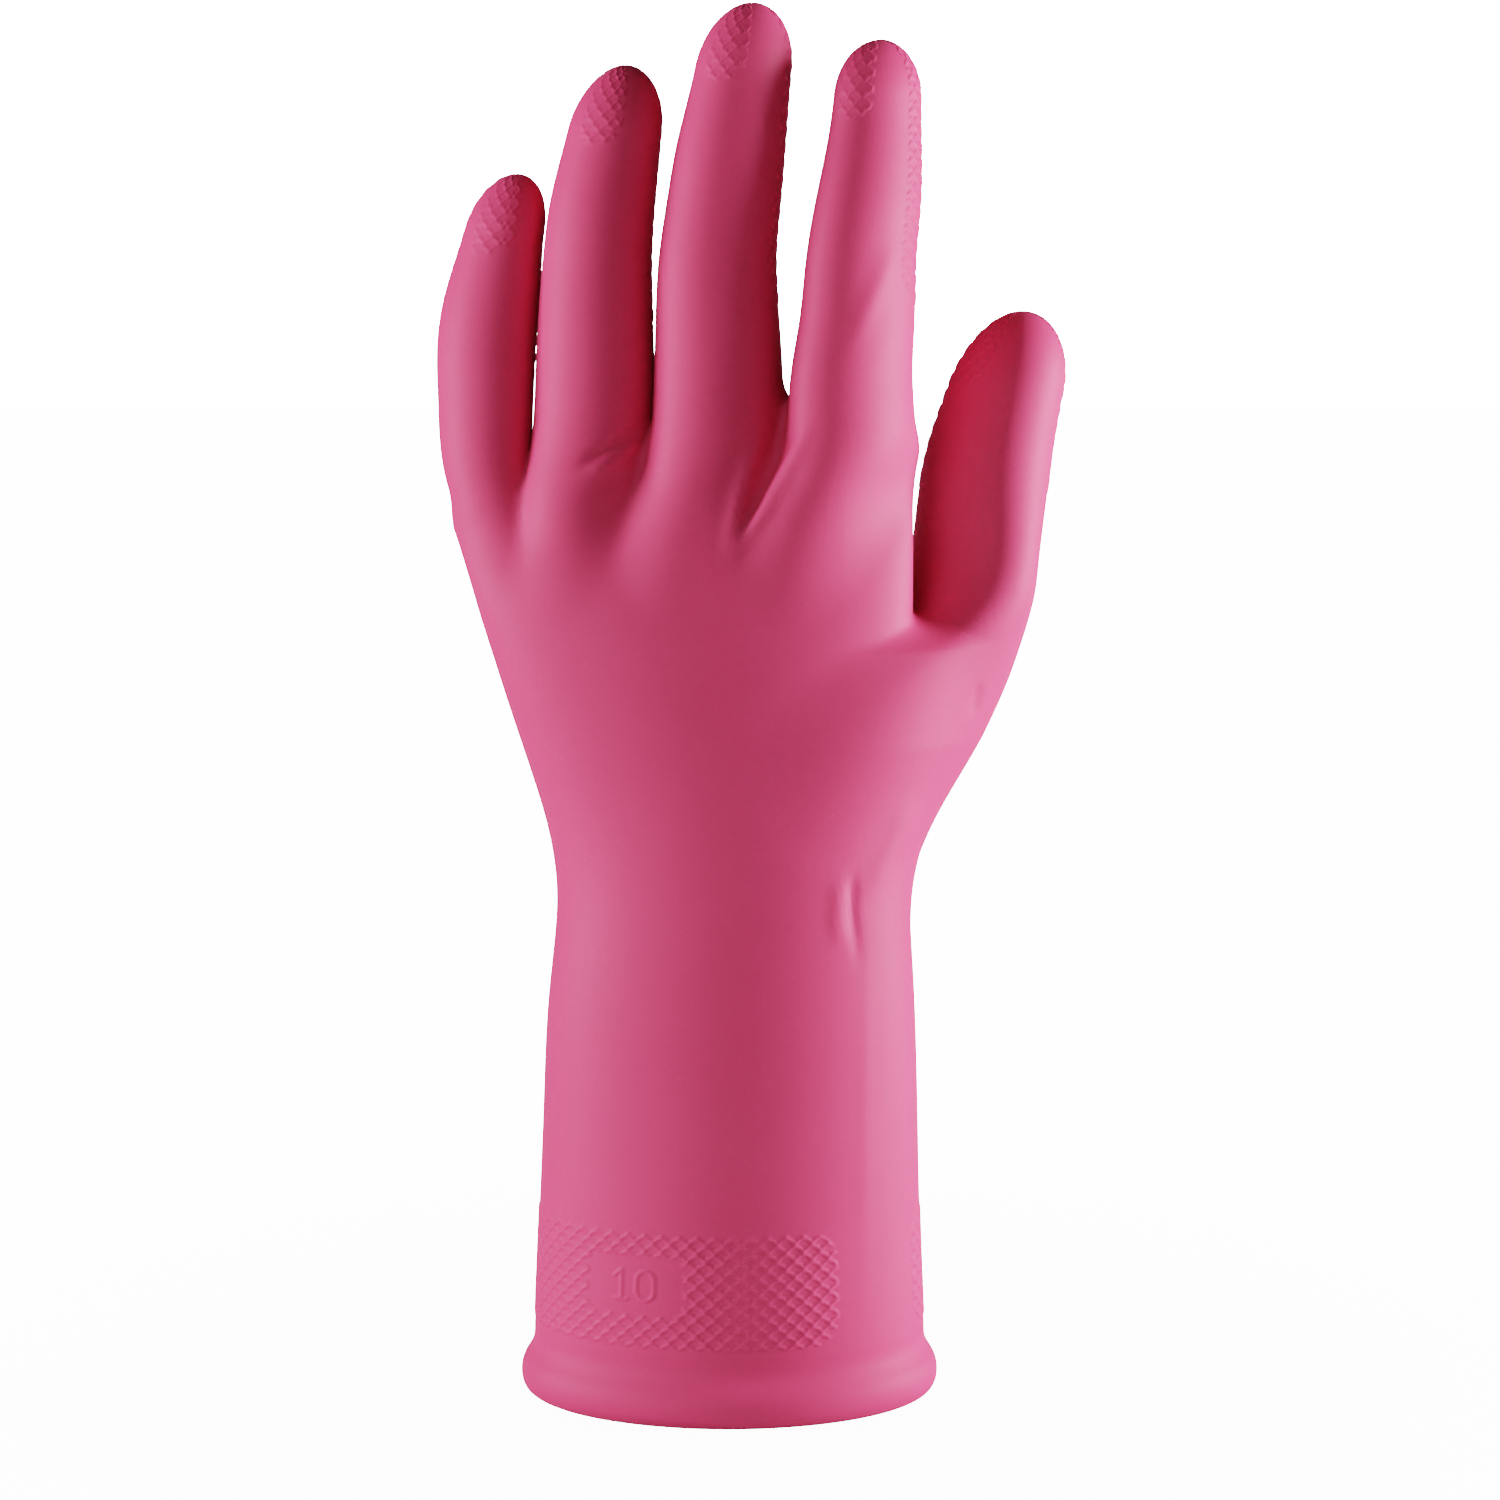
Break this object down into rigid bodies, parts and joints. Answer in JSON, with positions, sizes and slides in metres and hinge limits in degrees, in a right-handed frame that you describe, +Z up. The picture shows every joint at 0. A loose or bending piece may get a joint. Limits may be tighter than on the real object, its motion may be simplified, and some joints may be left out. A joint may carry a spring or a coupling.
{
  "type": "household rubber glove",
  "caption": "Long-cuffed household rubber glove for the left hand, lined with flock, standing on its rolled cuff with the fingers up.",
  "frame": {"origin": "floor point under the middle of the glove as it stands on its cuff", "axes": "+Z up the glove to the fingertips, +X to the thumb side, +Y to the palm side"},
  "size_m": [0.1357, 0.066, 0.3035],
  "materials": {
    "latex": "satin pink natural rubber",
    "bead": "satin pink natural rubber, rolled",
    "flock": "short cotton flock"
  },
  "bodies": {
    "cuff": {"cuff_bead": "bead", "gauntlet_shell": "latex", "gauntlet_lining": "flock", "wrist_crease": "latex"},
    "hand": {"palm_shell": "latex", "palm_lining": "flock", "knuckle_crease": "latex", "thumb_root_crease": "latex"},
    "finger_block": {"web_shell": "latex", "web_lining": "flock", "index_root_crease": "latex", "middle_root_crease": "latex", "ring_root_crease": "latex", "little_root_crease": "latex"},
    "index_lower": {"index_lower_shell": "latex", "index_lower_lining": "flock", "index_middle_crease": "latex"},
    "index_middle": {"index_middle_shell": "latex", "index_middle_lining": "flock", "index_tip_crease": "latex"},
    "index_tip": {"index_tip_shell": "latex", "index_tip_lining": "flock"},
    "middle_lower": {"middle_lower_shell": "latex", "middle_lower_lining": "flock", "middle_middle_crease": "latex"},
    "middle_middle": {"middle_middle_shell": "latex", "middle_middle_lining": "flock", "middle_tip_crease": "latex"},
    "middle_tip": {"middle_tip_shell": "latex", "middle_tip_lining": "flock"},
    "ring_lower": {"ring_lower_shell": "latex", "ring_lower_lining": "flock", "ring_middle_crease": "latex"},
    "ring_middle": {"ring_middle_shell": "latex", "ring_middle_lining": "flock", "ring_tip_crease": "latex"},
    "ring_tip": {"ring_tip_shell": "latex", "ring_tip_lining": "flock"},
    "little_lower": {"little_lower_shell": "latex", "little_lower_lining": "flock", "little_middle_crease": "latex"},
    "little_middle": {"little_middle_shell": "latex", "little_middle_lining": "flock", "little_tip_crease": "latex"},
    "little_tip": {"little_tip_shell": "latex", "little_tip_lining": "flock"},
    "thumb_lower": {"thumb_lower_shell": "latex", "thumb_lower_lining": "flock", "thumb_tip_crease": "latex"},
    "thumb_tip": {"thumb_tip_shell": "latex", "thumb_tip_lining": "flock"}
  },
  "joints": [
    {"name": "wrist_bend", "type": "hinge", "parent": "cuff", "child": "hand", "pos_m": [0, 0, 0.105], "axis": [-1, 0, 0], "range_deg": [-40, 40], "stiffness_Nm_per_rad": 0.6, "deforming": ["wrist_crease"]},
    {"name": "knuckle_bend", "type": "hinge", "parent": "hand", "child": "finger_block", "pos_m": [0, 0.00692, 0.19], "axis": [-1, 0, 0], "range_deg": [-10, 45], "stiffness_Nm_per_rad": 0.3, "deforming": ["knuckle_crease"]},
    {"name": "index_root_bend", "type": "hinge", "parent": "finger_block", "child": "index_lower", "pos_m": [0.02222, 0.00738, 0.23103], "axis": [-1, 0, 0], "range_deg": [-10, 30], "stiffness_Nm_per_rad": 0.04, "deforming": ["index_root_crease"]},
    {"name": "index_middle_bend", "type": "hinge", "parent": "index_lower", "child": "index_middle", "pos_m": [0.02374, 0.00779, 0.25174], "axis": [-1, 0, 0], "range_deg": [0, 80], "stiffness_Nm_per_rad": 0.02, "deforming": ["index_middle_crease"]},
    {"name": "index_tip_bend", "type": "hinge", "parent": "index_middle", "child": "index_tip", "pos_m": [0.02593, 0.01023, 0.27346], "axis": [-1, 0, 0], "range_deg": [0, 48], "stiffness_Nm_per_rad": 0.006, "deforming": ["index_tip_crease"]},
    {"name": "middle_root_bend", "type": "hinge", "parent": "finger_block", "child": "middle_lower", "pos_m": [-0.00736, 0.00593, 0.22637], "axis": [-1, 0, 0], "range_deg": [-10, 30], "stiffness_Nm_per_rad": 0.04, "deforming": ["middle_root_crease"]},
    {"name": "middle_middle_bend", "type": "hinge", "parent": "middle_lower", "child": "middle_middle", "pos_m": [-0.00727, 0.00651, 0.25211], "axis": [-1, 0, 0], "range_deg": [0, 80], "stiffness_Nm_per_rad": 0.02, "deforming": ["middle_middle_crease"]},
    {"name": "middle_tip_bend", "type": "hinge", "parent": "middle_middle", "child": "middle_tip", "pos_m": [-0.00432, 0.0093, 0.27826], "axis": [-1, 0, 0], "range_deg": [0, 48], "stiffness_Nm_per_rad": 0.006, "deforming": ["middle_tip_crease"]},
    {"name": "ring_root_bend", "type": "hinge", "parent": "finger_block", "child": "ring_lower", "pos_m": [-0.03473, 0.00717, 0.22179], "axis": [-1, 0, 0], "range_deg": [-10, 30], "stiffness_Nm_per_rad": 0.04, "deforming": ["ring_root_crease"]},
    {"name": "ring_middle_bend", "type": "hinge", "parent": "ring_lower", "child": "ring_middle", "pos_m": [-0.03393, 0.00764, 0.24401], "axis": [-1, 0, 0], "range_deg": [0, 80], "stiffness_Nm_per_rad": 0.02, "deforming": ["ring_middle_crease"]},
    {"name": "ring_tip_bend", "type": "hinge", "parent": "ring_middle", "child": "ring_tip", "pos_m": [-0.03112, 0.01059, 0.26705], "axis": [-1, 0, 0], "range_deg": [0, 48], "stiffness_Nm_per_rad": 0.006, "deforming": ["ring_tip_crease"]},
    {"name": "little_root_bend", "type": "hinge", "parent": "finger_block", "child": "little_lower", "pos_m": [-0.05818, 0.01092, 0.21782], "axis": [-1, 0, 0], "range_deg": [-10, 30], "stiffness_Nm_per_rad": 0.04, "deforming": ["little_root_crease"]},
    {"name": "little_middle_bend", "type": "hinge", "parent": "little_lower", "child": "little_middle", "pos_m": [-0.05792, 0.01178, 0.23447], "axis": [-1, 0, 0], "range_deg": [0, 80], "stiffness_Nm_per_rad": 0.02, "deforming": ["little_middle_crease"]},
    {"name": "little_tip_bend", "type": "hinge", "parent": "little_middle", "child": "little_tip", "pos_m": [-0.05487, 0.01468, 0.25206], "axis": [-1, 0, 0], "range_deg": [0, 48], "stiffness_Nm_per_rad": 0.006, "deforming": ["little_tip_crease"]},
    {"name": "thumb_spread", "type": "hinge", "parent": "hand", "child": "thumb_lower", "pos_m": [0.04529, 0.02088, 0.18275], "axis": [0.8, 0.6, 0], "range_deg": [-40, 15], "stiffness_Nm_per_rad": 0.05, "deforming": ["thumb_root_crease"]},
    {"name": "thumb_tip_bend", "type": "hinge", "parent": "thumb_lower", "child": "thumb_tip", "pos_m": [0.04995, 0.02183, 0.20848], "axis": [-0.8, -0.6, 0], "range_deg": [0, 50], "stiffness_Nm_per_rad": 0.015, "deforming": ["thumb_tip_crease"]}
  ],
  "couplings": [
    {"joint": "index_tip_bend", "follows": "index_middle_bend", "ratio": 0.6},
    {"joint": "middle_tip_bend", "follows": "middle_middle_bend", "ratio": 0.6},
    {"joint": "ring_tip_bend", "follows": "ring_middle_bend", "ratio": 0.6},
    {"joint": "little_tip_bend", "follows": "little_middle_bend", "ratio": 0.6}
  ]
}
